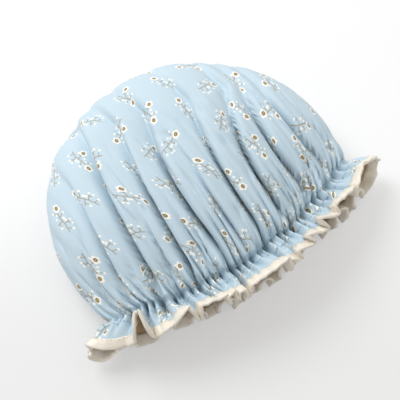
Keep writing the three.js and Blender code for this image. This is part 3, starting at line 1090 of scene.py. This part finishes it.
def strip_map(rows):
    """Flat places on a strip: along its length and across it."""
    turn = 2 * math.pi * EDGE_RADIUS * np.arange(SPOKES) / SPOKES
    lines = [np.stack([turn, np.full(SPOKES, STRIP_PITCH * r)], axis=1) for r in range(len(rows))]
    return np.concatenate(lines)


def binding_rows():
    """Rows of the tape: down its face, up its inside, and back within the fold."""
    places = np.linspace(EDGE_RADIUS - BINDING_WIDTH, EDGE_RADIUS, len(TAPE_PUFF))
    fold = row_points(EDGE_RADIUS, 0)
    onward = unit(fold - row_points(EDGE_RADIUS - EDGE_STEP, 0))
    outside = [row_points(place, TAPE_OUTSIDE + rise) for place, rise in zip(places, TAPE_PUFF)]
    inside_rows = [
        row_points(place, -LINING_OFFSET - TAPE_OUTSIDE - rise)
        for place, rise in zip(places[::-1], TAPE_PUFF[::-1])
    ]
    hidden = [row_points(place, -LINING_OFFSET - TAPE_INSIDE) for place in places]
    close = [row_points(place, TAPE_INSIDE) for place in places[::-1]]
    edge = fold + onward * TAPE_OUTSIDE
    inner_edge = fold + onward * TAPE_INSIDE
    return [*outside, edge, *inside_rows, *hidden, inner_edge, *close]


rows = binding_rows()
points, faces = band(rows)
binding = new_piece("edge_tape", points, faces, TAPE, ["edge_binding"], strip_map(rows))

strip = GRID.radii[GRID.mouth_row + 1 : GRID.casing_row]
rows = [row_points(place, -ELASTIC_OUTSIDE) for place in strip]
rows += [row_points(place, -ELASTIC_INSIDE) for place in strip[::-1]]
points, faces = band(rows)
new_piece("elastic_strip", points, faces, RUBBER, ["elastic_band"], strip_map(rows))

# Each stitch: places along its half length, with its width and how far it sinks there
STITCHES = 400
STITCH_SHARE = 0.36
STITCH_RADIUS = 0.25
STITCH_SIDES = 5
STITCH_PLACES = (-1, -0.6, 0, 0.6, 1)
STITCH_WIDTHS = (0.25, 0.9, 1, 0.9, 0.25)
STITCH_SINK = (0.9, 0.3, 0, 0.3, 0.9)


def stitch_row(name, radius, offset, material, slot, node):
    """A row of lockstitches lying on the cloth, each a short arched thread."""
    line = row_points(radius, offset)
    below = row_points(radius, 0)
    turn = np.arange(SPOKES + 1) / SPOKES
    line = np.concatenate([line, line[:1]])
    below = np.concatenate([below, below[:1]])

    def at(values, where):
        return np.stack([np.interp(np.mod(where, 1), turn, values[:, a]) for a in range(3)], axis=1)

    middles = (np.arange(STITCHES) + 0.5) / STITCHES
    spine = []
    for place, sink in zip(STITCH_PLACES, STITCH_SINK):
        where = middles + place * STITCH_SHARE / STITCHES
        spine.append(at(line, where) * (1 - sink) + at(below, where) * sink)
    forward = unit(spine[-1] - spine[0])
    up = unit(at(line, middles) - at(below, middles))
    side = unit(np.cross(forward, up))
    up = np.cross(side, forward)
    points, faces = [], []
    for middle, width in zip(spine, STITCH_WIDTHS):
        for c in range(STITCH_SIDES):
            angle = 2 * math.pi * c / STITCH_SIDES
            way = side * math.cos(angle) + up * math.sin(angle)
            points.append(middle + way * STITCH_RADIUS * width)
    points = np.stack(points, axis=1).reshape(-1, 3)
    each = len(STITCH_PLACES) * STITCH_SIDES
    for base in range(0, STITCHES * each, each):
        for a in range(base, base + each - STITCH_SIDES, STITCH_SIDES):
            b = a + STITCH_SIDES
            for c in range(STITCH_SIDES):
                d = (c + 1) % STITCH_SIDES
                faces.append((a + c, a + d, b + d, b + c))
        faces.append(tuple(base + c for c in reversed(range(STITCH_SIDES))))
        faces.append(tuple(base + each - STITCH_SIDES + c for c in range(STITCH_SIDES)))
    new_piece(name, points, faces, material, [node], points[:, :2])


# Offsets of the threads from the shell's cloth
SEAM = 0.3
BOBBIN = -LINING_OFFSET - SEAM
TAPE_SEAM = TAPE_OUTSIDE + SEAM
TAPE_BOBBIN = -LINING_OFFSET - TAPE_OUTSIDE - SEAM
SEAM_FROM_EDGE = 1.2
TAPE_LINE = EDGE_RADIUS - BINDING_WIDTH + SEAM_FROM_EDGE

# Rows of stitches: piece, radius on the cut, offset, thread, slot and node
STITCH_ROWS = (
    ("casing_stitches_upper", MOUTH_RADIUS, SEAM, BLUE_THREAD, "blue_thread", "casing_needle_thread_upper"),
    ("casing_stitches_lower", CASING_END, SEAM, BLUE_THREAD, "blue_thread", "casing_needle_thread_lower"),
    ("casing_bobbin_upper", MOUTH_RADIUS, BOBBIN, CREAM_THREAD, "cream_thread", "casing_bobbin_thread_upper"),
    ("casing_bobbin_lower", CASING_END, BOBBIN, CREAM_THREAD, "cream_thread", "casing_bobbin_thread_lower"),
    ("tape_stitches", TAPE_LINE, TAPE_SEAM, CREAM_THREAD, "cream_thread", "binding_needle_thread"),
    ("tape_bobbin", TAPE_LINE, TAPE_BOBBIN, CREAM_THREAD, "cream_thread", "binding_bobbin_thread"),
)
for row in STITCH_ROWS:
    stitch_row(*row)

# Floor, light and camera

FLOOR_HALF = 3
# Floor colours: painted shade, darker in front and lighter towards the back, standing for the lamp's falloff
FLOOR_FRONT_SHADE = (0.71, 0.71, 0.705, 1)
FLOOR_BACK = (0.9, 0.9, 0.9, 1)
FLOOR_WAY = (0.588, 0.809, 0)
FLOOR_SHADE_FADE = (-0.16, 0.06)
FLOOR_GLOW = 0.4
SKY = 0.53

# Lamps: name, place, size and power
LAMPS = (("key", (-0.32, 1.15, 1.58), 1.3, 26), ("fill", (0.9, -0.2, 1.6), 2.0, 4.5))
LAMP_AIM = Vector((0, 0, 0.03))

LENS = 80
SENSOR = 36
SHIFT_X = 0.0525
SHIFT_Y = -0.0775
AZIMUTH = math.radians(-36)
ELEVATION = math.radians(62)
DISTANCE = 0.8
AIM = Vector(TIP * MM) + Vector((0, -0.1, 0.03))


def add_floor():
    """A white table with painted shade, darker in front where the lamp's light falls off, that glows a little
    where it is seen.
    """
    mesh = bpy.data.meshes.new("floor")
    signs = ((-1, -1), (1, -1), (1, 1), (-1, 1))
    mesh.from_pydata([(FLOOR_HALF * x, FLOOR_HALF * y, 0) for x, y in signs], [], [(0, 1, 2, 3)])
    floor = add_object("floor", mesh)
    shader = Shader("white_table")
    ground = shader.node("TexCoord").outputs["Object"]
    # Painted shade: the floor's colour darkens towards the front
    lit_towards_back = shader.ramp(*FLOOR_SHADE_FADE, shader.vector("DOT_PRODUCT", ground, FLOOR_WAY))
    colour = shader.mix(lit_towards_back, FLOOR_FRONT_SHADE, FLOOR_BACK)
    shader.put(shader.bsdf, {"Base Color": colour, "Roughness": 0.9})
    glow = shader.node("Emission", {"Strength": 1.0})
    path = shader.node("LightPath")
    rays = ("Is Camera Ray", "Is Glossy Ray", "Is Transmission Ray")
    seen = shader.largest([path.outputs[ray] for ray in rays])
    blend = shader.node("MixShader")
    shader.link(shader.math("MULTIPLY", seen, FLOOR_GLOW), blend.inputs["Fac"])
    shader.link(shader.bsdf.outputs[0], blend.inputs[1])
    shader.link(glow.outputs[0], blend.inputs[2])
    shader.link(blend.outputs[0], shader.tree.nodes["Material Output"].inputs["Surface"])
    mesh.materials.append(shader.material)


def face_towards(thing, target):
    thing.rotation_euler = (target - thing.location).to_track_quat("-Z", "Y").to_euler()


def add_lamp(name, place, size, energy):
    """A round lamp that faces the cap."""
    lamp = bpy.data.lights.new(name, "AREA")
    lamp.shape = "DISK"
    lamp.size = size
    lamp.energy = energy
    holder = add_object(name, lamp)
    holder.location = place
    face_towards(holder, LAMP_AIM)


def add_light():
    world = bpy.data.worlds.new("studio")
    bpy.context.scene.world = world
    world.use_nodes = True
    background = world.node_tree.nodes["Background"]
    background.inputs["Color"].default_value = (1, 1, 1, 1)
    background.inputs["Strength"].default_value = SKY
    for lamp in LAMPS:
        add_lamp(*lamp)


def add_camera():
    data = bpy.data.cameras.new("camera")
    data.lens = LENS
    data.sensor_width = SENSOR
    data.shift_x = SHIFT_X
    data.shift_y = SHIFT_Y
    camera = add_object("camera", data)
    aside = Vector((math.sin(AZIMUTH), -math.cos(AZIMUTH), 0)) * math.cos(ELEVATION)
    camera.location = AIM + (aside + Vector((0, 0, math.sin(ELEVATION)))) * DISTANCE
    face_towards(camera, AIM)
    bpy.context.scene.camera = camera


add_floor()
add_light()
add_camera()
bpy.context.scene.view_settings.view_transform = "Standard"
